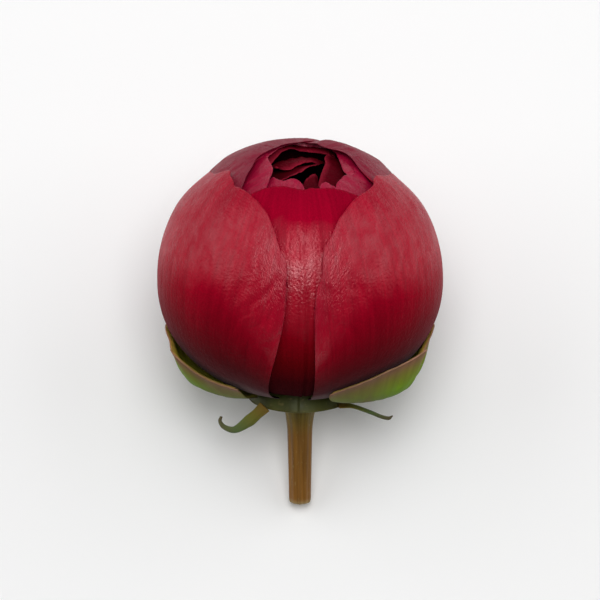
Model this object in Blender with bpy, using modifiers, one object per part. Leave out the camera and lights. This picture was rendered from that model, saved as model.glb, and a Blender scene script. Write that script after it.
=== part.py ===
"""A peony bud cut with a short stalk and laid on its back: guard petals, inner petals, sepals, bracts.

The bud is modelled upright in its own frame, with the origin at its middle, the crown along +Z and
its front along -Y. An empty then lays it down, so that the end of the stalk and the two back
sepals touch the ground. Lengths are in metres and angles in degrees.
"""

import math
from collections import namedtuple

import bmesh
import bpy
from mathutils import Matrix, Vector

# Bud: a superellipse in section, with one height above its widest level and a lesser one below it
BUD_RADIUS = 0.028
CROWN_HEIGHT = 0.028
CROWN_FULLNESS = 2.08
BASE_HEIGHT = 0.0228
BASE_FULLNESS = 2.05

# Petals lie in layers that are counted inwards from the outside of the bud
PETAL_THICKNESS = 0.0004
LAYER_PITCH = 0.0009
PETAL_FOOT_POLAR = 155.9
WIDENING = 1.2

# Where a petal's right side tucks under its neighbour, as across
TUCK_START = 0.0
TUCK_END = 0.8

# Where the outermost petals leave a lower petal free, it rises towards the outside
RISE_START = 1.0
RISE_END = 15.0

# The crown's pole leans forward, and the lean fades out down to LEAN_END
CROWN_LEAN = 9.0
LEAN_START = 20.0
LEAN_END = 90.0

# How much closer together the columns of a sheet lie at its sides than in its middle
EDGE_CROWDING = 0.7

# Claws: the narrow feet by which the innermost petals stand on top of the receptacle
CLAW_SHARE = 0.2
CLAW_POLAR = 150.0
CLAW_CLEARANCE = 0.0004

# Receptacle: a dome on a cone whose flank the feet of the petals stand on
FLANK_POLAR = 157.0
FLANK_TOP = -0.0160
FLANK_BOTTOM = -0.0234
DOME_RISE = 0.0016
DOME_SHARES = (0.0, 0.4, 0.75, 0.94)

# Underside of the receptacle: share of its rim's radius, and depth under the rim
SAUCER = ((1.0, 0.0), (1.02, 0.0003), (0.97, 0.0008), (0.65, 0.0018))

# Stalk: its neck as radius and depth under the receptacle's rim, then the cut end
NECK = ((0.0036, 0.0026), (0.0029, 0.0038), (0.0023, 0.0090))
STALK_RADIUS = 0.0022
STALK_LENGTH = 0.0462
STALK_SIDES = 28

# Sepals: they swell away from the bud up to SWELL_END and close on it again from HUG_START
SEPAL_THICKNESS = 0.0007
SEPAL_FOOT_GAP = 0.00035
SWELL_END = 0.55
HUG_START = 0.6
HUG = 0.95

# Rest: how far the crown points up from the ground
BUD_TILT = 33.65

Petal = namedtuple(
    "Petal",
    "name azimuth foot spread rim shoulder arch layer apex tuck rise lean ring grid",
    defaults=(0.0, 0.0, 0.0, 0.0, 0.0, (8, 9)),
)
Sepal = namedtuple("Sepal", "name azimuth foot spread tip shoulder arch gaps")
Bract = namedtuple("Bract", "name route widths face")

# A petal's azimuth is its middle, counted from the front towards +X. Foot and spread are half its
# width at the receptacle and at its shoulders. Rim and shoulder are polar angles from the crown.
GUARD_PETALS = (
    Petal("petal_front_left", -64, 38, 59, 31.5, 64, 1.8, 0.0, apex=-0.1, grid=(14, 12)),
    Petal("petal_front_right", 64, 38, 58, 34.7, 68, 2.0, 0.0, apex=0.1, grid=(14, 12)),
    Petal("petal_front_middle", 3, 30, 44, 33.0, 41, 2.0, 1.0, rise=0.5, grid=(10, 12)),
    Petal("petal_back_left", -120, 44, 75, 11.5, 36, 1.6, 1.0, rise=0.8, grid=(14, 12)),
    Petal("petal_back_right", 134, 44, 66, 10.5, 37, 1.5, 1.0, tuck=1.6, rise=0.8, grid=(14, 12)),
)
INNER_PETALS = (
    Petal("inner_petal_left", -88, 28, 40, 14.0, 30, 2.0, 2.0, lean=1),
    Petal("inner_petal_front_left", -26, 20, 28, 15.5, 24, 2.0, 3.0, lean=1),
    Petal("inner_petal_front_right", 31, 14, 18, 17.0, 25, 2.0, 3.4, lean=1),
    Petal("inner_petal_right", 76, 26, 40, 18.5, 28, 2.0, 2.4, lean=1),
    Petal("inner_petal_back_right", 122, 22, 30, 19.5, 30, 2.0, 3.4, lean=1),
    Petal("inner_petal_back", -155, 30, 50, 25.0, 32, 2.0, 3.4, lean=1),
)
HEART_PETALS = (
    Petal("heart_petal_right", 98, 30, 55, 8.0, 22, 2.0, 4.6, lean=1),
    Petal("heart_petal_back_left", -150, 30, 50, 8.4, 24, 2.0, 5.0, lean=1),
    Petal("heart_petal_left", -105, 34, 65, 3.0, 25, 2.0, 6.25, lean=1, grid=(10, 9)),
    Petal("heart_petal_front", 20, 30, 50, 10.0, 24, 2.0, 6.0, lean=1),
    Petal("heart_petal_back", 175, 26, 40, 20.0, 30, 2.0, 7.5, lean=1),
)

# Whorls of like petals inside: name, count, first azimuth, layer, rim, ring on the receptacle
Whorl = namedtuple("Whorl", "name count azimuth layer rim ring")
WHORLS = (
    Whorl("fourth_whorl_petal", 5, 36, 9.4, 12, 0.00560),
    Whorl("fifth_whorl_petal", 5, 0, 13.0, 10, 0.00415),
    Whorl("sixth_whorl_petal", 4, 30, 17.0, 9, 0.00270),
    Whorl("innermost_petal", 3, 10, 21.0, 8, 0.00125),
)
WHORL_OVERLAP = 1.1
WHORL_TUCK = 1.6
WHORL_SHOULDER = 26.0
WHORL_FOOT = 0.8

# Gaps are the space between bud and sepal at the left edge, the middle and the right edge
SEPALS = (
    Sepal("sepal_left", -80, 24, 44, 108, 130, 1.3, (0.0022, 0.0032, 0.00035)),
    Sepal("sepal_right", 70, 24, 48, 104, 126, 1.2, (0.00035, 0.0040, 0.0026)),
    Sepal("sepal_back_left", -150.5, 22, 23.5, 107, 132, 2.0, (0.0006, 0.0007, 0.0006)),
    Sepal("sepal_back_right", 147, 22, 26, 106, 132, 2.0, (0.0006, 0.0007, 0.0006)),
)
SEPAL_GRID = (10, 8)

BRACT_THICKNESS = 0.0008
BRACT_ROWS = 14
BRACTS = (
    Bract(
        "bract_left",
        (
            (-0.0069, -0.0091, -0.0232),
            (-0.0084, -0.0090, -0.0247),
            (-0.0104, -0.0086, -0.0266),
            (-0.0128, -0.0080, -0.0283),
            (-0.0148, -0.0074, -0.0280),
            (-0.0157, -0.0070, -0.0269),
            (-0.0154, -0.0068, -0.0259),
        ),
        (0.0026, 0.0022, 0.0026, 0.0018, 0.0013, 0.0010, 0.0006),
        (0.0, -1.0, 0.0),
    ),
    Bract(
        "bract_right",
        (
            (0.0091, -0.0067, -0.0239),
            (0.0112, -0.0062, -0.0238),
            (0.0138, -0.0060, -0.0249),
            (0.0160, -0.0058, -0.0259),
            (0.0174, -0.0056, -0.0263),
            (0.0182, -0.0055, -0.0261),
        ),
        (0.0026, 0.0022, 0.0018, 0.0014, 0.0010, 0.0006),
        (0.3, 0.0, 1.0),
    ),
)

# Colours as linear RGB, with a roughness
PETAL_FINISH = ((0.34, 0.006, 0.025), 0.5)
HEART_FINISH = ((0.22, 0.004, 0.014), 0.5)
SEPAL_FINISH = ((0.10, 0.13, 0.02), 0.55)
STALK_FINISH = ((0.13, 0.07, 0.015), 0.5)


def clear_scene():
    for obj in list(bpy.data.objects):
        bpy.data.objects.remove(obj, do_unlink=True)


def make_material(name, finish):
    material = bpy.data.materials.new(name)
    material.use_nodes = True
    shader = material.node_tree.nodes["Principled BSDF"]
    color, roughness = finish
    shader.inputs["Base Color"].default_value = (*color, 1.0)
    shader.inputs["Roughness"].default_value = roughness
    return material


def smooth_step(low, high, value):
    share = min(max((value - low) / (high - low), 0.0), 1.0)
    return share * share * (3.0 - 2.0 * share)


def envelope(polar):
    """Distance from the bud's middle to its outside, at a polar angle from the crown."""
    height, fullness = (CROWN_HEIGHT, CROWN_FULLNESS) if polar <= 90.0 else (BASE_HEIGHT, BASE_FULLNESS)
    angle = math.radians(polar)
    across = (math.sin(angle) / BUD_RADIUS) ** fullness
    along = (abs(math.cos(angle)) / height) ** fullness
    return (across + along) ** (-1.0 / fullness)


def bud_point(azimuth, polar, depth, lean=0.0):
    """A point at a depth under the bud's outside, leaning forward by its share of the crown's lean."""
    turn = math.radians(azimuth)
    angle = math.radians(polar)
    radius = math.sin(angle)
    point = Vector((radius * math.sin(turn), -radius * math.cos(turn), math.cos(angle)))
    point *= envelope(polar) - depth
    tip = math.radians(lean * CROWN_LEAN * (1.0 - smooth_step(LEAN_START, LEAN_END, polar)))
    return Matrix.Rotation(tip, 3, "X") @ point


def dome_height(radius):
    """Height of the receptacle's domed top at a distance from the bud's axis."""
    edge = -FLANK_TOP * math.tan(math.radians(180.0 - FLANK_POLAR))
    return FLANK_TOP + DOME_RISE * math.sqrt(1.0 - (radius / edge) ** 2)


def rim_polar(petal, across):
    """Polar angle of a petal's rim: an arch with its tip at the apex, down to a shoulder at each side."""
    reach = 1.0 - math.copysign(1.0, across - petal.apex) * petal.apex
    off_apex = min(abs(across - petal.apex) / reach, 1.0)
    drop = 1.0 - (1.0 - off_apex**2) ** (1.0 / petal.arch)
    return petal.rim + (petal.shoulder - petal.rim) * drop


def cover_polar(azimuth):
    """Polar angle down to which the two outermost petals leave the petals below them free."""
    turn = (azimuth + 180.0) % 360.0 - 180.0
    return min(rim_polar(petal, (turn - petal.azimuth) / petal.spread) for petal in GUARD_PETALS[:2])


def petal_point(petal, across, up):
    """A point of a petal's outside: across runs from -1 to 1, up from 0 at its foot to 1 at its rim."""
    top = rim_polar(petal, across)
    half_width = petal.foot + (petal.spread - petal.foot) * math.sin(math.pi / 2 * up**WIDENING)
    azimuth = petal.azimuth + half_width * across
    tuck = LAYER_PITCH * petal.tuck * smooth_step(TUCK_START, TUCK_END, across)
    depth = LAYER_PITCH * petal.layer + tuck
    if not petal.ring:
        polar = PETAL_FOOT_POLAR + (top - PETAL_FOOT_POLAR) * up
        free = cover_polar(azimuth) - polar
        depth -= LAYER_PITCH * petal.rise * smooth_step(RISE_START, RISE_END, free)
        return bud_point(azimuth, polar, depth, petal.lean)
    if up >= CLAW_SHARE:
        share = (up - CLAW_SHARE) / (1.0 - CLAW_SHARE)
        return bud_point(azimuth, CLAW_POLAR + (top - CLAW_POLAR) * share, depth, petal.lean)
    radius = petal.ring - tuck / 2
    turn = math.radians(azimuth)
    height = dome_height(radius) + CLAW_CLEARANCE
    foot = Vector((radius * math.sin(turn), -radius * math.cos(turn), height))
    return foot.lerp(bud_point(azimuth, CLAW_POLAR, depth), up / CLAW_SHARE)


def pressed_on_ground(point):
    """Moves a point that lies below the ground up to it, as the bud's weight does with a soft sepal."""
    tilt = math.radians(BUD_TILT)
    upward = Vector((0.0, -math.cos(tilt), math.sin(tilt)))
    ground = -STALK_LENGTH * math.sin(tilt) - STALK_RADIUS * math.cos(tilt)
    return point + upward * max(ground - point.dot(upward), 0.0)


def sepal_point(sepal, across, up):
    """A point of a sepal's outside, at the gap and its own thickness off the bud."""
    top = sepal.tip + (sepal.shoulder - sepal.tip) * abs(across) ** sepal.arch
    polar = PETAL_FOOT_POLAR + (top - PETAL_FOOT_POLAR) * up
    half_width = sepal.foot + (sepal.spread - sepal.foot) * math.sin(math.pi / 2 * up)
    azimuth = sepal.azimuth + half_width * across
    left, middle, right = sepal.gaps
    gap = middle + (right - left) / 2 * across + ((left + right) / 2 - middle) * across**2
    swell = smooth_step(0.0, SWELL_END, up) * (1.0 - HUG * smooth_step(HUG_START, 1.0, up))
    gap = SEPAL_FOOT_GAP + (gap - SEPAL_FOOT_GAP) * swell
    return pressed_on_ground(bud_point(azimuth, polar, -gap - SEPAL_THICKNESS))


def spline(values, share):
    """A point of the smooth curve through the values, from 0 at the first to 1 at the last."""
    last = len(values) - 1
    start = min(int(share * last), last - 1)
    at = share * last - start
    before, here, after, beyond = (values[min(max(start + step, 0), last)] for step in (-1, 0, 1, 2))
    return (
        here
        + (after - before) * (at / 2)
        + (before - here * 2.5 + after * 2 - beyond / 2) * at**2
        + ((beyond - before) / 2 + (here - after) * 1.5) * at**3
    )


def bract_point(bract, across, up):
    """A point of a bract's face: across its width and along its route."""
    route = [Vector(place) for place in bract.route]
    step = 0.01
    ahead = spline(route, min(up + step, 1.0)) - spline(route, max(up - step, 0.0))
    side = ahead.normalized().cross(Vector(bract.face).normalized())
    return spline(route, up) + side * (across * spline(bract.widths, up) / 2)


def make_sheet(name, place, grid, thickness, material):
    """A shell: a grid whose points place(across, up) puts on the outer face, thickened inwards."""
    mesh = bpy.data.meshes.new(name)
    shell = bmesh.new()
    columns, rows = grid
    bmesh.ops.create_grid(shell, x_segments=columns, y_segments=rows, size=1.0)
    for vertex in shell.verts:
        across = (1.0 - EDGE_CROWDING) * vertex.co.x + EDGE_CROWDING * math.sin(math.pi / 2 * vertex.co.x)
        vertex.co = place(across, (vertex.co.y + 1.0) / 2)
    shell.to_mesh(mesh)
    shell.free()
    mesh.shade_smooth()
    mesh.materials.append(material)
    sheet = bpy.data.objects.new(name, mesh)
    solidify = sheet.modifiers.new("thickness", "SOLIDIFY")
    solidify.thickness = thickness
    solidify.offset = -1.0
    return sheet


def make_petal(petal, material):
    return make_sheet(
        petal.name,
        lambda across, up: petal_point(petal, across, up),
        petal.grid,
        PETAL_THICKNESS,
        material,
    )


def whorl_petals(whorl):
    """The petals of one inner whorl, each with its left edge over its neighbour."""
    step = 360.0 / whorl.count
    return [
        Petal(
            f"{whorl.name}_{index + 1}",
            azimuth=whorl.azimuth + step * index,
            foot=step / 2 * WHORL_FOOT,
            spread=step / 2 * WHORL_OVERLAP,
            rim=whorl.rim,
            shoulder=WHORL_SHOULDER,
            arch=2.0,
            layer=whorl.layer,
            tuck=WHORL_TUCK,
            lean=1,
            ring=whorl.ring,
            grid=(6, 8),
        )
        for index in range(whorl.count)
    ]


def make_sepal(sepal, material):
    return make_sheet(
        sepal.name,
        lambda across, up: sepal_point(sepal, across, up),
        SEPAL_GRID,
        SEPAL_THICKNESS,
        material,
    )


def make_bract(bract, material):
    return make_sheet(
        bract.name,
        lambda across, up: bract_point(bract, across, up),
        (2, BRACT_ROWS),
        BRACT_THICKNESS,
        material,
    )


def stalk_profile():
    """Radius and height from the top of the receptacle, down its outside, to the cut end."""
    slope = math.tan(math.radians(180.0 - FLANK_POLAR))
    top_edge = -FLANK_TOP * slope
    rim = -FLANK_BOTTOM * slope
    profile = [(top_edge * share, dome_height(top_edge * share)) for share in DOME_SHARES]
    profile.append((top_edge, FLANK_TOP))
    profile += [(rim * share, FLANK_BOTTOM - depth) for share, depth in SAUCER]
    profile += [(radius, FLANK_BOTTOM - depth) for radius, depth in NECK]
    return profile + [(STALK_RADIUS, -STALK_LENGTH), (0.0, -STALK_LENGTH)]


def make_stalk(material):
    """The receptacle and the stalk, turned in one piece, because they grew as one."""
    mesh = bpy.data.meshes.new("stem")
    points = stalk_profile()
    mesh.from_pydata(
        [(radius, 0.0, height) for radius, height in points],
        [(index, index + 1) for index in range(len(points) - 1)],
        [],
    )
    mesh.materials.append(material)
    stalk = bpy.data.objects.new("stem", mesh)
    screw = stalk.modifiers.new("turned", "SCREW")
    screw.steps = STALK_SIDES
    screw.render_steps = STALK_SIDES
    screw.use_merge_vertices = True
    screw.merge_threshold = 0.00001
    screw.use_smooth_shade = True
    return stalk


def lowest_middle(pieces):
    """The middle of the underside of the box around the pieces, in world space."""
    graph = bpy.context.evaluated_depsgraph_get()
    corners = []
    for piece in pieces:
        evaluated = piece.evaluated_get(graph)
        corners += [evaluated.matrix_world @ vertex.co for vertex in evaluated.data.vertices]
    low = Vector([min(corner[axis] for corner in corners) for axis in range(3)])
    high = Vector([max(corner[axis] for corner in corners) for axis in range(3)])
    return Vector(((low.x + high.x) / 2, (low.y + high.y) / 2, low.z))


def lay_down(pieces, collection):
    """Hangs the pieces on an empty that lays the bud on its back, with its box on the origin."""
    carrier = bpy.data.objects.new("bud_axis", None)
    collection.objects.link(carrier)
    for piece in pieces:
        collection.objects.link(piece)
        piece.parent = carrier
    carrier.rotation_euler = (math.radians(BUD_TILT - 90.0), 0.0, 0.0)
    bpy.context.view_layer.update()
    carrier.location = -lowest_middle(pieces)


def build_bud():
    clear_scene()
    collection = bpy.data.collections.new("peony_bud")
    bpy.context.scene.collection.children.link(collection)
    petal = make_material("petal", PETAL_FINISH)
    heart = make_material("heart_petal", HEART_FINISH)
    green = make_material("sepal", SEPAL_FINISH)
    stalk = make_material("stalk", STALK_FINISH)
    pieces = [make_stalk(stalk)]
    pieces += [make_sepal(sepal, green) for sepal in SEPALS]
    pieces += [make_bract(bract, green) for bract in BRACTS]
    pieces += [make_petal(shape, petal) for shape in GUARD_PETALS + INNER_PETALS]
    pieces += [make_petal(shape, heart) for shape in HEART_PETALS]
    for whorl in WHORLS:
        pieces += [make_petal(shape, heart) for shape in whorl_petals(whorl)]
    lay_down(pieces, collection)


build_bud()
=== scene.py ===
"""Looks of the peony bud: its petals, sepals, bracts and stalk in fine detail, and their studio.

The bud's own frame has its origin in the middle of the bud, the crown along +Z and the front along
-Y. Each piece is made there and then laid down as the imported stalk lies. A sheet, such as a petal,
is a grid: across runs from -1 at its left side to 1 at its right, and up from 0 at its foot to 1 at
its rim. Lengths are in metres where a name doesn't end in MM, angles in degrees, colours in linear RGB.
"""

import math
from collections import namedtuple

import bpy
import numpy as np
from mathutils import Matrix, Vector


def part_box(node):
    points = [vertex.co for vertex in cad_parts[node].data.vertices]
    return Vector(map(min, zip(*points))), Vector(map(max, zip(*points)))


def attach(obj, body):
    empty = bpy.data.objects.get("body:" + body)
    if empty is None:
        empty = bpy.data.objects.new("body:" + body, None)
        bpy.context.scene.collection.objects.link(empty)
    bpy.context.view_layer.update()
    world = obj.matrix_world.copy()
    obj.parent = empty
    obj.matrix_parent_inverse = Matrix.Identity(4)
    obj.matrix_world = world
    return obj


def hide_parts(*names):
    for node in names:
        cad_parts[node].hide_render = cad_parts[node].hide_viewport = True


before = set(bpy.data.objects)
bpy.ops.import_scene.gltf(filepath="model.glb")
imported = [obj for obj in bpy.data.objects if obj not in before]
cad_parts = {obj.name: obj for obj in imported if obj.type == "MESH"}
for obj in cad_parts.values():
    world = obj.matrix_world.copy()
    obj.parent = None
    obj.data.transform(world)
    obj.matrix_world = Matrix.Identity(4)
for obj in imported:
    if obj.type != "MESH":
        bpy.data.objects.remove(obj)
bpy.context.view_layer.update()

MM = 0.001

# Bud: a superellipse in section, with one height above its widest level and a lesser one below it
BUD_RADIUS = 28.0
CROWN_HEIGHT = 28.0
CROWN_FULLNESS = 2.08
BASE_HEIGHT = 22.8
BASE_FULLNESS = 2.05
CROWN_LEAN = 9.0
LEAN_START = 20.0
LEAN_END = 90.0
BUD_TILT = 33.65

FOOT_POLAR = 155.9
WIDENING = 1.4
LAYER_PITCH = 0.9
TUCK = 0.42
TUCKED_BACK = (140, 162)
GUARD_THICKNESS = 0.28
INNER_THICKNESS = 0.22
SEPAL_THICKNESS = 0.7
BRACT_THICKNESS = 0.8
MARGIN = 0.9
CURVE_STEPS = 24

STALK_RADIUS = 2.2
STALK_LENGTH = 46.2

# A guard petal: its foot and rim from left to right. Rim points are azimuth from the front towards
# +X, polar angle from the crown, and how far the rim sinks under its layer, in millimetres.
GuardPetal = namedtuple(
    "GuardPetal", "node foot rim layer free_rise grid seed sink_from", defaults=(0.82,)
)
GUARD_PETALS = (
    GuardPetal(
        "petal_front_left",
        (-102, -24),
        (
            (-119, 82, 0.1),
            (-123, 69, 0.2),
            (-120, 54, 0.5),
            (-110, 43, 0.7),
            (-96, 39, 0.7),
            (-82, 37.4, 0.6),
            (-73, 34.8, 0.3),
            (-66, 32.2, 0.1),
            (-62, 32.3, 0),
            (-56.1, 33.9, 0),
            (-50, 35.8, 0.05),
            (-45.2, 38.1, 0.1),
            (-40.3, 38.4, 0.05),
            (-29.4, 40.7, 0),
            (-18.4, 46.6, 0),
            (-12.4, 54.4, 0),
            (-8.8, 61.8, 0),
            (-5.6, 67.6, 0),
            (-5.3, 77.2, 0),
        ),
        0.0,
        0.0,
        (150, 150),
        1,
    ),
    GuardPetal(
        "petal_front_right",
        (9, 102),
        (
            (5.6, 85.4, 0),
            (6.6, 77.6, 0),
            (8.7, 72.0, 0),
            (10.4, 62.6, 0),
            (15.3, 55.3, 0),
            (21.1, 49.0, 0),
            (32.7, 43.0, 0),
            (44.1, 40.5, 0),
            (52.0, 38.6, 0),
            (57.5, 36.2, 0),
            (66.0, 35.3, 0.1),
            (77.0, 37.2, 0.5),
            (92.0, 39.5, 0.7),
            (107, 44, 0.7),
            (118, 55, 0.5),
            (122, 70, 0.2),
            (118, 84, 0.1),
        ),
        0.0,
        0.0,
        (150, 150),
        2,
    ),
    GuardPetal(
        "petal_front_middle",
        (-33, 31),
        (
            (-41, 47, 0.2),
            (-38, 42.5, 0.1),
            (-32.4, 38.9, 0),
            (-25, 35.6, 0),
            (-11.8, 34.2, 0),
            (2.9, 35.8, 0),
            (7.5, 35.0, 0),
            (19.9, 35.4, 0),
            (29.7, 37.3, 0),
            (37, 39.8, 0.05),
            (43, 43, 0.1),
            (46, 48, 0.2),
        ),
        1.0,
        0.5,
        (160, 140),
        3,
    ),
    GuardPetal(
        "petal_back_left",
        (-164, -76),
        (
            (-199, 38, 0.3),
            (-200, 25, 0.4),
            (-196, 16.5, 0.6),
            (-178, 12.5, 0.9),
            (-150, 11.0, 1.0),
            (-112, 9.8, 1.0),
            (-88, 11.3, 0.8),
            (-72, 14.6, 0.6),
            (-66, 17.4, 0.5),
            (-59, 21.0, 0.35),
            (-50.5, 25.5, 0.2),
            (-46.5, 30.5, 0.1),
            (-43, 36, 0),
            (-43, 46, 0),
        ),
        1.0,
        0.8,
        (120, 140),
        4,
        sink_from=0.94,
    ),
    GuardPetal(
        "petal_back_right",
        (90, 178),
        (
            (60, 48, 0.2),
            (60, 38, 0.0),
            (61, 29, 0.2),
            (68, 23.7, 0.35),
            (80, 19.0, 0.5),
            (92, 16.8, 0.8),
            (100, 15.4, 1.0),
            (112, 13.0, 1.2),
            (130, 11.5, 1.1),
            (150, 12.0, 0.7),
            (173, 15.0, 0.5),
            (190, 24, 0.4),
            (199, 38, 0.3),
        ),
        1.0,
        0.8,
        (120, 140),
        5,
        sink_from=0.94,
    ),
)

# A crown petal: a wall that follows the bud from its foot up to a shoulder line, and goes on in a
# smooth bend to its rim. Foot and shoulder are azimuths of its left and right side; rim points are
# in millimetres in the bud's frame; bulge is how far the bend follows the wall's direction, and lift
# how much further it rises, also in millimetres.
CrownPetal = namedtuple(
    "CrownPetal", "node foot shoulder level layer bulge rim grid seed lift", defaults=(0.0,)
)
CROWN_PETALS = (
    CrownPetal(
        "inner_petal_left",
        (-112, -66),
        (-110, -34),
        34,
        2.4,
        0.5,
        (
            (-12.6, -6.0, 21.6),
            (-11.0, -6.0, 23.2),
            (-9.6, -5.6, 24.3),
            (-8.2, -3.6, 25.2),
            (-6.6, -2.1, 25.7),
            (-6.0, -4.7, 25.4),
            (-5.2, -8.1, 24.6),
            (-5.5, -9.8, 23.8),
            (-6.3, -12.3, 22.3),
            (-7.2, -14.2, 20.6),
        ),
        (60, 70),
        11,
    ),
    CrownPetal(
        "inner_petal_front_left",
        (-46, -4),
        (-54, 6),
        36,
        3.2,
        0.5,
        (
            (-9.6, -12.6, 20.0),
            (-7.4, -11.4, 21.9),
            (-6.1, -9.8, 22.8),
            (-5.2, -9.3, 23.4),
            (-4.4, -10.5, 23.3),
            (-3.2, -11.8, 23.2),
            (-2.3, -11.4, 23.4),
            (-1.3, -11.4, 23.5),
            (-0.4, -11.9, 23.3),
            (0.5, -12.8, 22.8),
            (1.0, -14.4, 21.6),
        ),
        (60, 70),
        12,
    ),
    CrownPetal(
        "inner_petal_front_right",
        (17, 45),
        (12, 48),
        38,
        3.4,
        0.5,
        (
            (3.2, -15.0, 20.3),
            (3.7, -12.8, 22.0),
            (4.1, -11.9, 22.6),
            (4.9, -11.3, 22.8),
            (5.7, -11.5, 22.5),
            (6.7, -11.9, 22.0),
            (7.8, -13.3, 20.4),
        ),
        (36, 60),
        13,
    ),
    CrownPetal(
        "inner_petal_right",
        (50, 104),
        (30, 116),
        36,
        2.2,
        0.5,
        (
            (6.4, -14.8, 20.6),
            (6.8, -12.7, 22.3),
            (7.1, -11.8, 22.8),
            (7.8, -10.4, 23.3),
            (8.8, -8.8, 23.6),
            (10.3, -7.8, 23.5),
            (10.6, -6.9, 23.7),
            (10.4, -5.7, 24.2),
            (11.3, -4.1, 24.1),
            (12.8, -1.6, 23.2),
            (14.4, 1.0, 21.4),
        ),
        (60, 70),
        14,
    ),
    CrownPetal(
        "inner_petal_back_right",
        (100, 144),
        (70, 152),
        34,
        3.4,
        0.5,
        (
            (9.9, -7.6, 22.0),
            (9.0, -7.0, 23.3),
            (8.3, -5.5, 23.6),
            (7.7, -1.5, 24.1),
            (7.0, 3.0, 24.8),
            (6.0, 7.0, 24.4),
            (5.0, 9.6, 22.8),
        ),
        (60, 60),
        15,
        lift=2.8,
    ),
    CrownPetal(
        "inner_petal_back",
        (-185, -125),
        (-215, -88),
        34,
        3.4,
        0.5,
        (
            (7.8, 8.4, 22.4),
            (6.4, 6.8, 24.2),
            (3.4, 7.4, 24.7),
            (1.0, 7.6, 25.0),
            (-1.4, 7.2, 25.5),
            (-3.2, 5.4, 25.6),
            (-4.7, 2.4, 25.5),
            (-6.1, -1.4, 25.2),
            (-7.0, -3.6, 24.0),
        ),
        (70, 60),
        16,
        lift=4.0,
    ),
    CrownPetal(
        "heart_petal_right",
        (68, 128),
        (34, 150),
        34,
        4.4,
        0.55,
        (
            (3.5, -9.5, 19.6),
            (3.5, -7.2, 21.2),
            (4.0, -5.0, 22.6),
            (4.5, -3.0, 23.4),
            (4.9, -1.5, 24.0),
            (4.8, 1.2, 24.5),
            (5.8, 3.2, 24.5),
            (7.0, 4.4, 23.6),
        ),
        (70, 60),
        21,
    ),
    CrownPetal(
        "heart_petal_back_left",
        (-180, -120),
        (-216, -92),
        34,
        4.9,
        0.5,
        (
            (6.6, 5.0, 22.8),
            (5.5, 4.5, 24.1),
            (2.9, 6.0, 24.1),
            (0.2, 6.5, 24.4),
            (-1.4, 6.3, 24.9),
            (-3.2, 4.4, 25.0),
            (-4.4, 1.2, 24.6),
            (-5.4, -2.3, 24.2),
            (-6.2, -4.5, 23.4),
        ),
        (70, 60),
        22,
        lift=4.0,
    ),
    CrownPetal(
        "heart_petal_left",
        (-139, -71),
        (-170, -46),
        38,
        7.6,
        0.5,
        (
            (3.7, 1.0, 23.0),
            (3.0, -1.5, 23.7),
            (1.8, -3.0, 23.8),
            (0.5, -4.5, 23.3),
            (-1.3, -6.0, 22.8),
            (-3.3, -7.0, 22.3),
            (-4.6, -8.0, 22.0),
        ),
        (70, 70),
        23,
    ),
    CrownPetal(
        "heart_petal_front",
        (-10, 50),
        (-30, 50),
        36,
        6.0,
        0.5,
        (
            (-2.4, -9.4, 19.0),
            (0.2, -8.0, 20.2),
            (0.8, -6.8, 21.5),
            (1.6, -5.4, 22.3),
            (2.7, -4.0, 22.5),
            (3.3, -3.6, 22.0),
            (3.6, -5.0, 20.8),
            (4.0, -7.6, 19.0),
        ),
        (60, 60),
        24,
    ),
    CrownPetal(
        "heart_petal_back",
        (149, 201),
        (140, 262),
        36,
        8.2,
        0.65,
        (
            (3.6, 1.5, 22.8),
            (2.2, -0.5, 24.0),
            (0.6, -2.0, 24.1),
            (-1.7, -3.5, 23.4),
            (-3.2, -3.4, 23.2),
            (-4.8, -1.8, 23.2),
        ),
        (70, 70),
        25,
        lift=3.5,
    ),
)

# A sepal's rim is azimuth, polar angle and gap to the bud; belly is its gap half way up
Sepal = namedtuple("Sepal", "node foot rim belly grid seed")
SEPALS = (
    Sepal(
        "sepal_left",
        (-104, -56),
        (
            (-124, 131, 0.9),
            (-118, 121, 1.0),
            (-108, 114.5, 0.8),
            (-97, 110.5, 0.4),
            (-88, 110.0, 0.2),
            (-81, 112.0, 0.3),
            (-76, 113.0, 0.6),
            (-70, 112.5, 1.1),
            (-64, 111.5, 1.8),
            (-60, 115.0, 1.7),
            (-54.5, 122.6, 1.2),
            (-45, 127.2, 0.7),
            (-36, 130.2, 0.35),
        ),
        (2.4, 3.3, 0.5),
        (90, 60),
        31,
    ),
    Sepal(
        "sepal_right",
        (46, 94),
        (
            (17, 131.5, 0.1),
            (24, 126.5, 0.2),
            (32, 122.4, 0.3),
            (43, 118.0, 0.35),
            (55, 115.0, 0.6),
            (64, 112.8, 0.9),
            (68.5, 112.8, 1.0),
            (73, 116.0, 0.9),
            (78, 118.5, 0.7),
            (83, 116.0, 0.4),
            (88, 111.5, 0.2),
            (96, 110.5, 0.3),
            (109, 117.0, 0.6),
            (118, 127, 0.6),
        ),
        (0.3, 3.7, 2.0),
        (90, 60),
        32,
    ),
    Sepal(
        "sepal_back_left",
        (-172.5, -128.5),
        (
            (-174, 131, 0.6),
            (-171, 117, 0.5),
            (-162, 109, 0.4),
            (-150, 106.5, 0.4),
            (-139, 109.5, 0.4),
            (-130, 118, 0.5),
            (-127, 131, 0.6),
        ),
        (0.6, 0.7, 0.6),
        (60, 50),
        33,
    ),
    Sepal(
        "sepal_back_right",
        (125, 169),
        (
            (121, 131, 0.6),
            (125, 117, 0.5),
            (135, 108.5, 0.4),
            (148, 105.6, 0.4),
            (160, 109, 0.4),
            (170, 118, 0.5),
            (173, 131, 0.6),
        ),
        (0.6, 0.7, 0.6),
        (60, 50),
        34,
    ),
)

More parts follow.
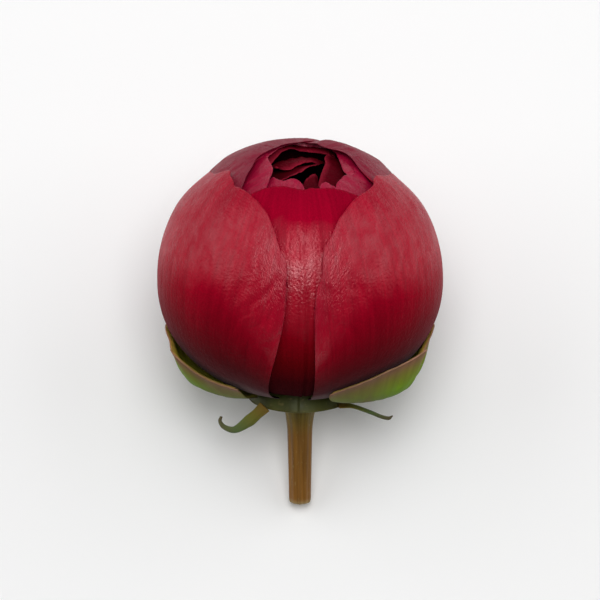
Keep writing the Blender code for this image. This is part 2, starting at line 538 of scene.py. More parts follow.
# Bracts: points of the middle line and widths in millimetres, and the side that the face looks to
Bract = namedtuple("Bract", "node route widths face hollow grid")
BRACTS = (
    Bract(
        "bract_left",
        (
            (-6.9, -9.1, -23.2),
            (-8.4, -9.0, -24.7),
            (-10.4, -8.6, -26.6),
            (-12.8, -8.0, -28.3),
            (-14.8, -7.4, -28.0),
            (-15.7, -7.0, -26.9),
            (-15.4, -6.8, -25.9),
        ),
        (2.6, 2.2, 2.5, 1.9, 1.4, 1.0, 0.5),
        (0.0, -1.0, 0.0),
        0.25,
        (16, 120),
    ),
    Bract(
        "bract_right",
        (
            (7.6, -6.9, -23.3),
            (10.4, -6.4, -23.6),
            (13.8, -6.0, -24.9),
            (16.0, -5.8, -25.9),
            (17.4, -5.6, -26.3),
            (18.2, -5.5, -26.1),
        ),
        (2.6, 2.2, 1.8, 1.4, 1.0, 0.5),
        (0.3, 0.0, 1.0),
        0.2,
        (16, 100),
    ),
)

# Receptacle and stalk: radius and height from the top of the dome down to the cut end
STALK_PROFILE = (
    (0.0, -14.4),
    (3.0, -14.55),
    (5.4, -15.0),
    (6.79, -16.0),
    (9.93, -23.4),
    (10.12, -23.7),
    (9.6, -24.2),
    (6.5, -25.2),
    (3.6, -26.0),
    (3.0, -27.2),
    (2.55, -30.0),
    (2.42, -32.6),
    (2.32, -38.0),
    (2.24, -42.0),
    (2.16, -45.6),
    (2.08, -46.05),
    (1.8, -46.2),
    (1.2, -46.05),
    (0.0, -46.0),
)
STALK_SIDES = 120
STALK_RINGS = 260
RIBS = 11


def smooth_step(low, high, value):
    share = np.clip((value - low) / (high - low), 0.0, 1.0)
    return share * share * (3.0 - 2.0 * share)


def noise(x, y, seed):
    """Smooth values from -1 to 1 that change over about a unit of x and y."""
    size = 64
    lattice = np.random.default_rng(seed).uniform(-1.0, 1.0, (size, size))
    column = np.floor(x).astype(int)
    row = np.floor(y).astype(int)
    right = smooth_step(0.0, 1.0, x - column)
    upper = smooth_step(0.0, 1.0, y - row)

    def at(step_x, step_y):
        return lattice[(column + step_x) % size, (row + step_y) % size]

    low = at(0, 0) * (1.0 - right) + at(1, 0) * right
    high = at(0, 1) * (1.0 - right) + at(1, 1) * right
    return low * (1.0 - upper) + high * upper


def envelope(polar):
    """Distance from the bud's middle to its outside, at a polar angle from the crown."""
    above = polar <= 90.0
    height = np.where(above, CROWN_HEIGHT, BASE_HEIGHT)
    fullness = np.where(above, CROWN_FULLNESS, BASE_FULLNESS)
    angle = np.radians(polar)
    across = (np.sin(angle) / BUD_RADIUS) ** fullness
    along = (np.abs(np.cos(angle)) / height) ** fullness
    return (across + along) ** (-1.0 / fullness)


def bud_points(azimuth, polar, depth, lean=0.0):
    """Points at a depth under the bud's outside, leaning forward by a share of the crown's lean."""
    turn = np.radians(azimuth)
    angle = np.radians(polar)
    reach = envelope(polar) - depth
    x = reach * np.sin(angle) * np.sin(turn)
    y = -reach * np.sin(angle) * np.cos(turn)
    z = reach * np.cos(angle)
    tip = np.radians(lean * CROWN_LEAN * (1.0 - smooth_step(LEAN_START, LEAN_END, polar)))
    return np.stack((x, np.cos(tip) * y - np.sin(tip) * z, np.sin(tip) * y + np.cos(tip) * z), axis=-1)


def smooth_line(points, count):
    """Places on a smooth curve through the points, equally far apart along it."""
    knots = np.array(points, float)
    knots = np.vstack((2 * knots[0] - knots[1], knots, 2 * knots[-1] - knots[-2]))
    at = np.linspace(0.0, 1.0, CURVE_STEPS, endpoint=False)[:, None]
    spans = []
    for before, here, after, beyond in zip(knots, knots[1:], knots[2:], knots[3:]):
        spans.append(
            here
            + (after - before) * (at / 2)
            + (before - here * 2.5 + after * 2 - beyond / 2) * at**2
            + ((beyond - before) / 2 + (here - after) * 1.5) * at**3
        )
    curve = np.vstack(spans + [knots[-2:-1]])
    reach = np.concatenate(([0.0], np.cumsum(np.linalg.norm(np.diff(curve, axis=0), axis=1))))
    wanted = np.linspace(0.0, reach[-1], count)
    return np.stack([np.interp(wanted, reach, values) for values in curve.T], axis=1)


def pressed_on_ground(points):
    """Moves points that lie below the ground up to it, as the bud's weight does with a soft sepal."""
    tilt = math.radians(BUD_TILT)
    upward = np.array((0.0, -math.cos(tilt), math.sin(tilt)))
    ground = -STALK_LENGTH * math.sin(tilt) - STALK_RADIUS * math.cos(tilt)
    return points + upward * np.maximum(ground - points @ upward, 0.0)[..., None]


def cover_polar(azimuth):
    """Polar angle down to which the two front guard petals leave the petals below them free."""
    turn = (azimuth + 180.0) % 360.0 - 180.0
    rims = [np.array(petal.rim) for petal in GUARD_PETALS[:2]]
    return np.min([np.interp(turn, rim[:, 0], rim[:, 1], left=66.0, right=66.0) for rim in rims], axis=0)


def patch(azimuth, polar, middle, size):
    """A soft spot: 1 around its middle, fading out at its size, both as azimuth and polar angle."""
    off = ((azimuth - middle[0]) / size[0]) ** 2 + ((polar - middle[1]) / size[1]) ** 2
    return 1.0 - smooth_step(0.25, 1.0, off)


def crinkles(azimuth, polar, slant, seed):
    """Ridges as on crumpled silk, in millimetres, that rise along a slant on the bud's front."""
    x = np.radians(azimuth) * BUD_RADIUS
    y = -np.radians(polar) * BUD_RADIUS
    turn = math.radians(slant)
    along = x * math.cos(turn) + y * math.sin(turn)
    across = y * math.cos(turn) - x * math.sin(turn)
    wander = noise(along / 5.0, across / 5.0, seed) * 0.9
    broad = noise(along / 5.0, across / 1.5 + wander, seed + 50)
    fine = noise(along / 2.6, across / 0.7 + wander * 2, seed + 90)
    return broad * 0.16 + fine * 0.13


def petal_relief(node, azimuth, polar):
    """How far a guard petal's surface stands out, in millimetres."""
    if node == "petal_front_left":
        swell = crinkles(azimuth, polar, 42, 5) * patch(azimuth, polar, (-15, 92), (17, 26))
        swell += 0.35 * crinkles(azimuth, polar, 60, 6) * patch(azimuth, polar, (-34, 74), (24, 26))
    elif node == "petal_front_right":
        swell = crinkles(azimuth, polar, -46, 7) * patch(azimuth, polar, (16, 90), (16, 26))
        swell += 0.35 * crinkles(azimuth, polar, -62, 8) * patch(azimuth, polar, (34, 74), (24, 26))
    elif node == "petal_front_middle":
        fold = 1.6 * np.exp(-(((azimuth - 2.6) / 0.8) ** 2)) * smooth_step(74, 82, polar)
        ridge = np.exp(-(((azimuth - 1.0) / 0.8) ** 2)) * smooth_step(50, 60, polar)
        swell = 0.10 * ridge - 0.22 * fold + 0.3 * np.exp(-(((azimuth - 1) / 9.0) ** 2))
    else:
        swell = 0.2 * crinkles(azimuth, polar, 80, 9) * smooth_step(60, 30, polar)
    turn = np.abs((azimuth + 180.0) % 360.0 - 180.0)
    streaks = noise(azimuth / 2.6, polar / 60.0, 17) * 0.05 * patch(turn, polar, (66, 92), (26, 46))
    return swell + streaks + 0.10 * noise(azimuth / 16.0, polar / 18.0, 23)


def ragged(count, strength, seed):
    """Small uneven steps along a rim, none at its ends."""
    at = np.linspace(0.0, 1.0, count)
    steps = noise(at * 46.0, at * 0.0, seed) * 0.5 + noise(at * 15.0, at * 0.0, seed + 1)
    return strength * steps * smooth_step(0.0, 0.06, at) * smooth_step(1.0, 0.94, at)


def guard_petal(petal):
    columns, rows = petal.grid
    rim = smooth_line(petal.rim, columns)
    rim_polar = rim[:, 1] + ragged(columns, 0.35, petal.seed)
    foot = np.linspace(*petal.foot, columns)
    up = np.linspace(0.0, 1.0, rows)[:, None]
    azimuth = foot + (rim[:, 0] - foot) * np.sin(np.pi / 2 * up**WIDENING)
    polar = FOOT_POLAR + (rim_polar - FOOT_POLAR) * up
    depth = LAYER_PITCH * petal.layer + rim[:, 2] * smooth_step(petal.sink_from, 1.0, up)
    depth = depth + TUCK * smooth_step(*TUCKED_BACK, azimuth) * (petal.node == "petal_back_right")
    free = cover_polar(azimuth) - polar
    depth = depth - LAYER_PITCH * petal.free_rise * smooth_step(1.0, 15.0, free)
    fade = smooth_step(0.0, 0.12, up) * smooth_step(1.0, 0.97, up)
    depth = np.maximum(depth - petal_relief(petal.node, azimuth, polar) * fade, 0.0)
    return bud_points(azimuth, polar, depth)


def crown_petal(petal):
    columns, rows = petal.grid
    rim = smooth_line(petal.rim, columns)
    foot = np.linspace(*petal.foot, columns)
    shoulder = np.linspace(*petal.shoulder, columns)
    wall_rows = rows // 2
    up = np.linspace(0.0, 1.0, wall_rows)[:, None]
    azimuth = foot + (shoulder - foot) * np.sin(np.pi / 2 * up)
    polar = FOOT_POLAR - 3.0 + (petal.level + 3.0 - FOOT_POLAR) * up
    wall = bud_points(azimuth, polar, LAYER_PITCH * petal.layer, 1.0)
    top = wall[-1]
    heading = top - wall[-2]
    heading /= np.linalg.norm(heading, axis=1)[:, None]
    reach = np.linalg.norm(rim - top, axis=1)[:, None]
    bend = top + heading * reach * petal.bulge + np.array((0.0, 0.0, petal.lift))
    at = np.linspace(0.0, 1.0, rows - wall_rows + 1)[1:, None, None]
    crest = top * (1 - at) ** 2 + bend * (2 * at * (1 - at)) + rim * at**2
    points = np.concatenate((wall, crest))
    return points + crown_waves(petal, columns, rows)


def crown_waves(petal, columns, rows):
    """Low waves of a crown petal, as offsets along Z, and the fine unevenness of its rim."""
    across, up = np.meshgrid(np.linspace(0.0, 1.0, columns), np.linspace(0.0, 1.0, rows))
    waves = 0.16 * noise(across * 14.0, up * 5.0, petal.seed) * smooth_step(0.45, 0.75, up)
    edge = ragged(columns, 0.10, petal.seed + 3) * smooth_step(0.9, 1.0, up)
    offset = np.zeros((rows, columns, 3))
    offset[..., 2] = waves * smooth_step(1.02, 0.9, up) + edge
    return offset


def sepal(shape):
    columns, rows = shape.grid
    rim = smooth_line(shape.rim, columns)
    rim_polar = rim[:, 1] + ragged(columns, 0.3, shape.seed)
    foot = np.linspace(*shape.foot, columns)
    across = np.linspace(-1.0, 1.0, columns)
    up = np.linspace(0.0, 1.0, rows)[:, None]
    azimuth = foot + (rim[:, 0] - foot) * np.sin(np.pi / 2 * up)
    polar = FOOT_POLAR + (rim_polar - FOOT_POLAR) * up
    left, middle, right = shape.belly
    belly = middle + (right - left) / 2 * across + ((left + right) / 2 - middle) * across**2
    gap = 0.35 + (belly - 0.35) * smooth_step(0.0, 0.6, up)
    gap = gap + (rim[:, 2] - gap) * smooth_step(0.55, 1.0, up)
    veins = 0.05 * noise(across * 16.0 + up * 0, up * 1.5, shape.seed) * smooth_step(0.0, 0.2, up)
    return pressed_on_ground(bud_points(azimuth, polar, -gap - SEPAL_THICKNESS - veins))


def bract(shape):
    columns, rows = shape.grid
    route = smooth_line(shape.route, rows)
    widths = smooth_line([(width, 0.0) for width in shape.widths], CURVE_STEPS * len(shape.widths))[:, 0]
    widths = np.interp(np.linspace(0, 1, rows), np.linspace(0, 1, len(shape.widths)), shape.widths)
    ahead = np.gradient(route, axis=0)
    ahead /= np.linalg.norm(ahead, axis=1)[:, None]
    face = np.array(shape.face) / np.linalg.norm(shape.face)
    side = np.cross(ahead, face)
    across = np.linspace(-1.0, 1.0, columns)[None, :, None]
    outward = np.cross(side, ahead)
    hollow = -shape.hollow * across**2 * outward[:, None, :]
    return route[:, None, :] + side[:, None, :] * across * widths[:, None, None] / 2 + hollow


def grid_faces(columns, rows, closed=False):
    """Quads of a grid of points whose rows run upwards."""
    column, row = np.meshgrid(np.arange(columns if closed else columns - 1), np.arange(rows - 1))
    here = (row * columns + column).ravel()
    right = (row * columns + (column + 1) % columns).ravel()
    return np.stack((here, right, right + columns, here + columns), axis=1)


def add_piece(node, points, faces, growth, materials, face_materials):
    """Makes a mesh of points in the bud's frame, lays it down and puts it in its node's place."""
    mesh = bpy.data.meshes.new(node)
    laid = points * MM @ np.array(LAID_DOWN.to_3x3()).T + np.array(LAID_DOWN.translation)
    mesh.from_pydata(laid.tolist(), [], faces.tolist())
    for material in materials:
        mesh.materials.append(material)
    mesh.polygons.foreach_set("material_index", face_materials)
    place = mesh.attributes.new("growth", "FLOAT_VECTOR", "POINT")
    place.data.foreach_set("vector", growth.astype(np.float32).ravel())
    mesh.shade_smooth()
    mesh.update()
    piece = bpy.data.objects.new(f"{node}_looks", mesh)
    bpy.context.scene.collection.objects.link(piece)
    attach(piece, "root")
    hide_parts(node)
    return piece


def lengths_along(points, axis):
    """Distance along a grid's rows or columns, averaged over the grid."""
    steps = np.linalg.norm(np.diff(points, axis=axis), axis=2).mean(axis=1 - axis)
    return np.concatenate(([0.0], np.cumsum(steps)))


def add_sheet(node, outer, thickness, materials):
    """A closed shell: a grid on its outer face, thickened inwards and thin at its margins."""
    rows, columns = outer.shape[:2]
    across_step = np.gradient(outer, axis=1)
    up_step = np.gradient(outer, axis=0)
    normal = np.cross(across_step, up_step)
    normal /= np.linalg.norm(normal, axis=2)[..., None] + 1e-12
    width = lengths_along(outer, 1)
    length = lengths_along(outer, 0)
    side_gap = np.minimum(width, width[-1] - width)
    rim_gap = length[-1] - length
    margin = np.minimum(side_gap[None, :], rim_gap[:, None])
    taper = 0.3 + 0.7 * smooth_step(0.0, MARGIN, margin)
    inner = outer - normal * (thickness * taper)[..., None]
    points = np.vstack((outer.reshape(-1, 3), inner.reshape(-1, 3)))
    front = grid_faces(columns, rows)
    count = rows * columns
    back = front[:, ::-1] + count
    index = np.arange(count).reshape(rows, columns)
    loop = np.concatenate((index[0], index[1:, -1], index[-1, -2::-1], index[-2:0:-1, 0]))
    after = np.roll(loop, -1)
    edge = np.stack((after, loop, loop + count, after + count), axis=1)
    share = length / length[-1]
    grown = np.stack(np.broadcast_arrays(width[None, :] - width[-1] / 2, length[:, None], share[:, None]), axis=-1)
    growth = np.vstack((grown.reshape(-1, 3),) * 2)
    kinds = np.repeat((0, len(materials) - 1, 0), (len(front), len(back), len(edge)))
    return add_piece(node, points, np.vstack((front, back, edge)), growth, materials, kinds)


def add_stalk(material):
    """The receptacle and the stalk, turned in one piece with low ribs."""
    profile = smooth_line(STALK_PROFILE, STALK_RINGS)[::-1]
    turn = np.linspace(0.0, 2 * np.pi, STALK_SIDES, endpoint=False)
    height = profile[:, 1][:, None]
    on_stalk = smooth_step(-26.0, -30.0, height)
    ribs = 0.022 * np.cos(turn * RIBS + 0.4 * np.sin(height / 9.0)) + 0.012 * np.cos(turn * 5 + 1)
    uneven = 0.03 * noise(turn * 2.0 + height * 0, height / 7.0, 41) * np.sin(turn / 2)
    radius = np.maximum(profile[:, 0], 0.002)[:, None] * (1.0 + (ribs + uneven) * on_stalk)
    points = np.stack((radius * np.sin(turn), -radius * np.cos(turn), height + turn * 0), axis=-1)
    faces = grid_faces(STALK_SIDES, STALK_RINGS, closed=True)
    share = (height - profile[0, 1]) / (profile[-1, 1] - profile[0, 1])
    growth = np.stack(np.broadcast_arrays(turn * STALK_RADIUS, height, share), axis=-1).reshape(-1, 3)
    return add_piece("stem", points.reshape(-1, 3), faces, growth, [material], np.zeros(len(faces), int))


def add_node(tree, kind, **settings):
    node = tree.nodes.new(kind)
    for name, value in settings.items():
        setattr(node, name, value)
    return node


def scaled_growth(tree, scale):
    """The place on a sheet in millimetres, scaled across and up."""
    place = add_node(tree, "ShaderNodeAttribute", attribute_name="growth")
    mapping = add_node(tree, "ShaderNodeMapping")
    mapping.inputs["Scale"].default_value = (*scale, 0.0)
    tree.links.new(place.outputs["Vector"], mapping.inputs["Vector"])
    return mapping.outputs["Vector"]


def growth_noise(tree, scale, detail=3.0, distortion=0.0):
    """Noise whose grain is so many to the millimetre across and up."""
    grain = add_node(tree, "ShaderNodeTexNoise")
    grain.inputs["Scale"].default_value = 1.0
    grain.inputs["Detail"].default_value = detail
    grain.inputs["Distortion"].default_value = distortion
    tree.links.new(scaled_growth(tree, scale), grain.inputs["Vector"])
    return grain.outputs["Fac"]


def spread(tree, value, low, high, to_low, to_high):
    """A value from low to high as one from to_low to to_high, clamped."""
    node = add_node(tree, "ShaderNodeMapRange")
    node.inputs["From Min"].default_value = low
    node.inputs["From Max"].default_value = high
    node.inputs["To Min"].default_value = to_low
    node.inputs["To Max"].default_value = to_high
    tree.links.new(value, node.inputs["Value"])
    return node.outputs["Result"]


def combine(tree, operation, first, second):
    node = add_node(tree, "ShaderNodeMath", operation=operation)
    for socket, value in zip(node.inputs, (first, second)):
        if isinstance(value, float):
            socket.default_value = value
        else:
            tree.links.new(value, socket)
    return node.outputs[0]


def ramp(tree, value, stops):
    node = add_node(tree, "ShaderNodeValToRGB")
    elements = node.color_ramp.elements
    while len(elements) < len(stops):
        elements.new(0.5)
    for element, (position, color) in zip(elements, stops):
        element.position = position
        element.color = (*color, 1.0)
    tree.links.new(value, node.inputs["Fac"])
    return node.outputs["Color"]


def mix(tree, share, first, second, blend="MIX"):
    """A mix of two colours, each a socket or a fixed colour."""
    node = add_node(tree, "ShaderNodeMix", data_type="RGBA", blend_type=blend)
    sockets = [socket for socket in node.inputs if socket.type == "RGBA"]
    if isinstance(share, float):
        node.inputs["Factor"].default_value = share
    else:
        tree.links.new(share, node.inputs["Factor"])
    for socket, color in zip(sockets, (first, second)):
        if isinstance(color, tuple):
            socket.default_value = (*color, 1.0)
        else:
            tree.links.new(color, socket)
    return next(socket for socket in node.outputs if socket.type == "RGBA")


def place_on_sheet(tree, part):
    """X is the distance from a sheet's middle line and Y from its foot, in millimetres; Z the share up."""
    place = add_node(tree, "ShaderNodeAttribute", attribute_name="growth")
    parts = add_node(tree, "ShaderNodeSeparateXYZ")
    tree.links.new(place.outputs["Vector"], parts.inputs["Vector"])
    return parts.outputs[part]


def share_up(tree):
    return place_on_sheet(tree, "Z")


def add_bump(tree, shader, heights):
    """Bumps, each a height socket with its depth in millimetres, laid on one another."""
    below = None
    for height, depth in heights:
        bump = add_node(tree, "ShaderNodeBump")
        bump.inputs["Strength"].default_value = 1.0
        bump.inputs["Distance"].default_value = depth * MM
        tree.links.new(height, bump.inputs["Height"])
        if below:
            tree.links.new(below, bump.inputs["Normal"])
        below = bump.outputs["Normal"]
    tree.links.new(below, shader.inputs["Normal"])
    return below


def new_material(name, roughness, level=0.3):
    material = bpy.data.materials.new(name)
    material.use_nodes = True
    shader = material.node_tree.nodes["Principled BSDF"]
    shader.inputs["Roughness"].default_value = roughness
    shader.inputs["Specular IOR Level"].default_value = level
    return material, material.node_tree, shader


def petal_material(name, stops, bloom, sheen=0.0):
    """Crimson silk: darker towards the foot, partly its own dark maroon and partly painted shade, with fine lengthwise
    veins and mottling in its gloss.

    Bloom is the waxy film that gives the petal its pale gloss: how strong it is, and the shares of the
    petal's length where it starts, is full, starts to fade and is gone. Sheen is its pale down.
    """
    material, tree, shader = new_material(name, 0.3, 0.0)
    strength, start, full, fading, gone = bloom
    shader.inputs["Metallic"].default_value = PETAL_SATIN
    shader.inputs["Sheen Weight"].default_value = sheen
    shader.inputs["Sheen Roughness"].default_value = SHEEN_ROUGHNESS
    shader.inputs["Sheen Tint"].default_value = SHEEN_TINT
    shader.inputs["Coat IOR"].default_value = BLOOM_IOR
    shader.inputs["Coat Roughness"].default_value = BLOOM_ROUGHNESS
    base = ramp(tree, share_up(tree), stops)
    veins = growth_noise(tree, (1.5, 0.05), 4.0)
    blotches = growth_noise(tree, (0.10, 0.05), 3.0, 0.4)
    mottles = growth_noise(tree, (0.6, 0.35), 3.0, 0.6)
    grain = growth_noise(tree, (2.6, 2.0), 3.0)
    uneven_share = combine(tree, "ADD", share_up(tree), spread(tree, blotches, 0.3, 0.7, -0.06, 0.06))
    film = spread(tree, uneven_share, start, full, 0.0, strength)
    film = combine(tree, "MULTIPLY", film, spread(tree, uneven_share, fading, gone, 1.0, 0.0))
    film = combine(tree, "MULTIPLY", film, spread(tree, mottles, 0.35, 0.65, 0.55, 1.25))
    tree.links.new(film, shader.inputs["Coat Weight"])
    lines = spread(tree, veins, 0.3, 0.7, 0.86, 1.1)
    shade = combine(tree, "MULTIPLY", lines, spread(tree, blotches, 0.3, 0.7, 0.9, 1.08))
    shade_color = add_node(tree, "ShaderNodeCombineColor")
    for socket in shade_color.inputs[:3]:
        tree.links.new(shade, socket)
    color = mix(tree, 1.0, base, shade_color.outputs["Color"], "MULTIPLY")
    tree.links.new(color, shader.inputs["Base Color"])
    uneven = spread(tree, grain, 0.3, 0.7, -0.04, 0.04)
    gloss = combine(tree, "ADD", uneven, spread(tree, blotches, 0.3, 0.7, 0.24, 0.34))
    dull = spread(tree, share_up(tree), DULL_BELOW, DULL_ABOVE, 0.65, 0.0)
    tree.links.new(combine(tree, "ADD", gloss, dull), shader.inputs["Roughness"])
    relief = add_bump(tree, shader, ((veins, 0.05), (mottles, 0.10), (grain, 0.14)))
    tree.links.new(relief, shader.inputs["Coat Normal"])
    return material


def green_material(name, stops):
    """Green tissue with parallel veins, browner in spots and towards its sides."""
    material, tree, shader = new_material(name, 0.6, 0.1)
    veins = growth_noise(tree, (1.1, 0.08), 4.0)
    blotches = growth_noise(tree, (0.25, 0.16), 3.0, 0.5)
    base = ramp(tree, share_up(tree), stops)
    darker = mix(tree, spread(tree, veins, 0.35, 0.7, 0.0, 0.5), base, (0.5, 0.6, 0.4), "MULTIPLY")
    aside = combine(tree, "ABSOLUTE", place_on_sheet(tree, "X"), 0.0)
    brown = combine(tree, "ADD", spread(tree, blotches, 0.5, 0.75, 0.0, 0.35), spread(tree, aside, 5.0, 10.0, 0.0, 0.5))
    color = mix(tree, brown, darker, SEPAL_MARGIN_BROWN)
    tree.links.new(color, shader.inputs["Base Color"])
    tree.links.new(spread(tree, blotches, 0.3, 0.7, 0.55, 0.75), shader.inputs["Roughness"])
    add_bump(tree, shader, ((veins, 0.06),))
    return material


def stalk_material():
    """Olive-brown bark of a young stalk: lengthwise streaks, pale specks, greener at the receptacle."""
    material, tree, shader = new_material("stalk", 0.5, 0.25)
    streaks = growth_noise(tree, (1.6, 0.07), 4.0)
    specks = growth_noise(tree, (2.6, 0.9), 2.0)
    base = ramp(
        tree,
        share_up(tree),
        (
            (0.0, (0.34, 0.24, 0.10)),
            (0.03, (0.25, 0.105, 0.015)),
            (0.45, (0.22, 0.10, 0.014)),
            (0.60, (0.20, 0.14, 0.015)),
            (0.72, (0.08, 0.09, 0.015)),
        ),
    )
    streaked = mix(tree, spread(tree, streaks, 0.35, 0.7, 0.0, 0.8), base, (0.45, 0.42, 0.3), "MULTIPLY")
    color = mix(tree, spread(tree, specks, 0.62, 0.75, 0.0, 0.5), streaked, (0.30, 0.22, 0.08))
    tree.links.new(color, shader.inputs["Base Color"])
    tree.links.new(spread(tree, specks, 0.3, 0.7, 0.4, 0.55), shader.inputs["Roughness"])
    add_bump(tree, shader, ((streaks, 0.12), (specks, 0.04)))
    return material


def make_floor():
    mesh = bpy.data.meshes.new("floor")
    half = 3.0
    mesh.from_pydata([(-half, -half, 0.0), (half, -half, 0.0), (half, half, 0.0), (-half, half, 0.0)], [], [(0, 1, 2, 3)])
    material, tree, shader = new_material("floor", 1.0, 0.0)
    shader.inputs["Base Color"].default_value = (0.93, 0.93, 0.93, 1.0)
    mesh.materials.append(material)
    floor = bpy.data.objects.new("floor", mesh)
    bpy.context.scene.collection.objects.link(floor)


# Softboxes: where their middles are from the bud's, their width and height, and how bright they are
Softbox = namedtuple("Softbox", "name place size brightness")
SOFTBOXES = (
    Softbox("softbox_above", (0.0, 0.05, 0.8), (0.50, 0.72), 2.8),
    Softbox("softbox_key", (0.05, -0.02, 0.78), (0.26, 0.46), 3.4),
    Softbox("softbox_crown", (0.0, 0.68, 0.56), (1.00, 0.50), 0.5),
    Softbox("softbox_left", (-0.74, 0.22, 0.44), (0.90, 0.90), 1.3),
    Softbox("softbox_right", (0.74, 0.22, 0.44), (0.90, 0.90), 1.3),
)
WORLD_LIGHT = 0.08


def make_softbox(middle, softbox):
    width, height = softbox.size
    light = bpy.data.lights.new(softbox.name, "AREA")
    light.shape = "RECTANGLE"
    light.size = width
    light.size_y = height
    light.energy = softbox.brightness * math.pi * width * height
    lamp = bpy.data.objects.new(softbox.name, light)
    lamp.location = middle + Vector(softbox.place)
    lamp.rotation_euler = Vector(softbox.place).to_track_quat("Z", "Y").to_euler()
    bpy.context.scene.collection.objects.link(lamp)


def make_light(middle):
    for softbox in SOFTBOXES:
        make_softbox(middle, softbox)
    world = bpy.data.worlds.new("studio")
    world.use_nodes = True
    world.node_tree.nodes["Background"].inputs["Color"].default_value = (1.0, 1.0, 1.0, 1.0)
    world.node_tree.nodes["Background"].inputs["Strength"].default_value = WORLD_LIGHT
    bpy.context.scene.world = world


# Camera: it looks from this far above the bud's own level, with the bud's middle above its own
CAMERA_ELEVATION = 17.0
CAMERA_DISTANCE = 0.6
CAMERA_DROP = 0.0039
CAMERA_LENS = 183.8


def make_camera(middle):
    turn = math.radians(CAMERA_ELEVATION - BUD_TILT)
    toward = Vector((0.0, math.sin(turn), math.cos(turn)))
    side = Vector((1.0, 0.0, 0.0))
    up = toward.cross(side)
    camera = bpy.data.objects.new("camera", bpy.data.cameras.new("camera"))
    camera.data.lens = CAMERA_LENS
    camera.data.clip_start = 0.01
    place = Matrix((side, up, toward)).transposed().to_4x4()
    place.translation = middle - up * CAMERA_DROP + toward * CAMERA_DISTANCE
    camera.matrix_world = place
    bpy.context.scene.collection.objects.link(camera)
    bpy.context.scene.camera = camera


def laid_down():
    """The bud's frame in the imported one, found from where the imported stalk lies."""
    low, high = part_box("stem")
    tilt = math.radians(BUD_TILT)
    radius, length = STALK_RADIUS * MM, STALK_LENGTH * MM
    middle = Vector(
        (
            (low.x + high.x) / 2,
            low.y + radius * math.sin(tilt) + length * math.cos(tilt),
            low.z + radius * math.cos(tilt) + length * math.sin(tilt),
        )
    )
    return Matrix.Translation(middle) @ Matrix.Rotation(tilt - math.pi / 2, 4, "X")


PETAL_SATIN = 0.12
GUARD_SHEEN = 0.10
SHEEN_ROUGHNESS = 0.35
SHEEN_TINT = (1.0, 0.75, 0.8, 1.0)
BLOOM_IOR = 2.0
BLOOM_ROUGHNESS = 0.26
SIDE_BLOOM = (0.25, 0.58, 0.70, 1.0, 1.1)
MIDDLE_BLOOM = (0.36, 0.47, 0.56, 0.72, 0.86)
BACK_BLOOM = (0.26, 0.50, 0.62, 1.0, 1.1)
INNER_BLOOM = (0.36, 0.60, 0.80, 1.0, 1.1)
NO_BLOOM = (0.0, 0.4, 0.5, 1.0, 1.1)
DULL_BELOW = 0.34
DULL_ABOVE = 0.54
# Side petals: the grey-pink stops at the foot are a painted reflection of the pale floor, and the darkening towards the
# foot is partly their own dark maroon and partly painted shade
SIDE_COLORS = (
    (0.0, (0.11, 0.09, 0.08)),
    (0.19, (0.10, 0.06, 0.06)),
    (0.26, (0.06, 0.008, 0.010)),
    (0.36, (0.08, 0.0015, 0.004)),
    (0.46, (0.145, 0.001, 0.006)),
    (0.56, (0.24, 0.001, 0.010)),
    (0.68, (0.36, 0.001, 0.016)),
    (1.0, (0.35, 0.0015, 0.020)),
)
# Middle petal: darker towards the foot, partly its own dark maroon and partly painted shade
MIDDLE_COLORS = (
    (0.0, (0.02, 0.005, 0.006)),
    (0.25, (0.05, 0.002, 0.004)),
    (0.36, (0.13, 0.0015, 0.004)),
    (0.46, (0.22, 0.001, 0.007)),
    (0.56, (0.34, 0.001, 0.014)),
    (0.75, (0.36, 0.001, 0.018)),
    (1.0, (0.28, 0.001, 0.017)),
)
# Back petals: darker towards the foot, partly their own dark maroon and partly painted shade
BACK_COLORS = (
    (0.0, (0.03, 0.005, 0.006)),
    (0.3, (0.10, 0.002, 0.005)),
    (0.55, (0.23, 0.001, 0.011)),
    (0.85, (0.22, 0.004, 0.022)),
    (1.0, (0.20, 0.006, 0.026)),
)
# Inner petals: nearly black below half their length, painted shade of the hollow they stand in, and crimson towards the
# rim
INNER_COLORS = (
    (0.0, (0.02, 0.001, 0.002)),
    (0.5, (0.08, 0.001, 0.005)),
    (0.8, (0.26, 0.002, 0.020)),
    (1.0, (0.33, 0.004, 0.036)),
)
# Heart petals: nearly black up to their crimson rim, painted shade of the hollow
HEART_PAINTED_SHADE_COLORS = (
    (0.0, (0.008, 0.0005, 0.001)),
    (0.8, (0.025, 0.001, 0.002)),
    (0.92, (0.06, 0.001, 0.004)),
    (0.98, (0.09, 0.001, 0.006)),
    (1.0, (0.24, 0.010, 0.026)),
)
# Inner faces of the petals, and the whorls: nearly black up to the crimson rim, painted shade
INSIDE_COLORS = (
    (0.0, (0.006, 0.0005, 0.001)),
    (0.93, (0.02, 0.0005, 0.002)),
    (0.97, (0.10, 0.001, 0.006)),
    (1.0, (0.34, 0.012, 0.034)),
)
SEPAL_COLORS = (
    (0.0, (0.015, 0.05, 0.035)),
    (0.25, (0.03, 0.075, 0.025)),
    (0.45, (0.075, 0.16, 0.006)),
    (0.7, (0.15, 0.27, 0.002)),
    (0.84, (0.17, 0.18, 0.01)),
    (0.95, (0.22, 0.10, 0.04)),
    (0.985, (0.18, 0.07, 0.03)),
    (1.0, (0.40, 0.20, 0.13)),
)
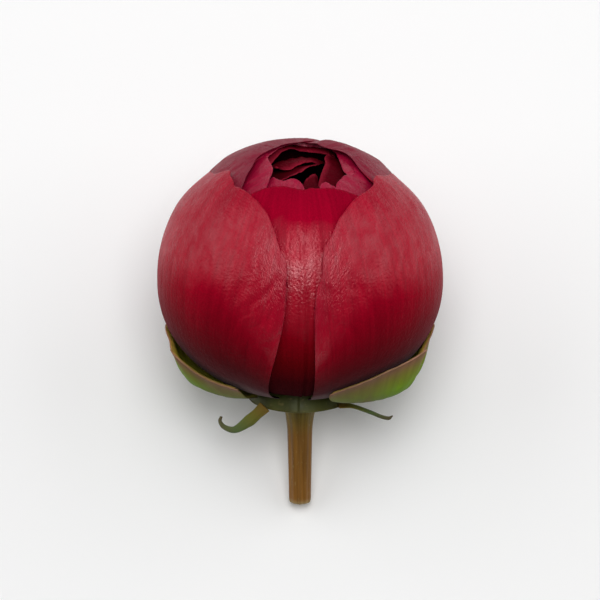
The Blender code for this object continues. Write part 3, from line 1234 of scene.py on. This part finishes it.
# Inside of the sepals: olive, painted much lighter than it is to stand in for light that does not reach the narrow gap
# to the bud
SEPAL_INSIDE_COLORS = (
    (0.0, (0.50, 0.50, 0.03)),
    (0.9, (0.75, 0.75, 0.04)),
    (1.0, (0.60, 0.32, 0.08)),
)
SEPAL_MARGIN_BROWN = (0.15, 0.09, 0.05)
BRACT_COLORS = (
    (0.0, (0.22, 0.13, 0.025)),
    (0.25, (0.16, 0.15, 0.025)),
    (0.6, (0.10, 0.15, 0.05)),
    (1.0, (0.12, 0.09, 0.05)),
)

LAID_DOWN = laid_down()
bud_middle = LAID_DOWN.translation.copy()
make_floor()
make_light(bud_middle)
make_camera(bud_middle)

side_material = petal_material("guard_petal", SIDE_COLORS, SIDE_BLOOM, GUARD_SHEEN)
middle_material = petal_material("guard_petal_middle", MIDDLE_COLORS, MIDDLE_BLOOM)
back_material = petal_material("guard_petal_back", BACK_COLORS, BACK_BLOOM)
inner_material = petal_material("inner_petal", INNER_COLORS, INNER_BLOOM)
heart_painted_shade_material = petal_material("heart_petal", HEART_PAINTED_SHADE_COLORS, NO_BLOOM)
inside_painted_shade_material = petal_material("petal_inside_painted_shade", INSIDE_COLORS, NO_BLOOM)
sepal_outside = green_material("sepal", SEPAL_COLORS)
sepal_inside_painted_light = green_material("sepal_inside_painted_light", SEPAL_INSIDE_COLORS)
bract_green = green_material("bract", BRACT_COLORS)

for petal in GUARD_PETALS:
    material = side_material
    if "back" in petal.node:
        material = back_material
    elif "middle" in petal.node:
        material = middle_material
    # Each guard petal's inner face takes the near-black inside material, painted shade
    add_sheet(petal.node, guard_petal(petal), GUARD_THICKNESS, [material, inside_painted_shade_material])
for petal in CROWN_PETALS:
    # Heart petals take the near-black heart material, painted shade of the hollow
    material = heart_painted_shade_material if "heart" in petal.node else inner_material
    # Inner faces take the near-black inside material, painted shade, except on the back inner petals
    inner_face = inner_material if "inner_petal_back" in petal.node else inside_painted_shade_material
    add_sheet(petal.node, crown_petal(petal), INNER_THICKNESS, [material, inner_face])
for shape in SEPALS:
    add_sheet(shape.node, sepal(shape), SEPAL_THICKNESS, [sepal_outside, sepal_inside_painted_light])
for shape in BRACTS:
    add_sheet(shape.node, bract(shape), BRACT_THICKNESS, [bract_green])
add_stalk(stalk_material())

# The whorls inside keep their imported shapes and take the near-black inside material, which is painted shade
for name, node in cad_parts.items():
    if "whorl" in name or "innermost" in name:
        for slot in node.material_slots:
            slot.material = inside_painted_shade_material

bpy.context.scene.view_settings.view_transform = "Standard"
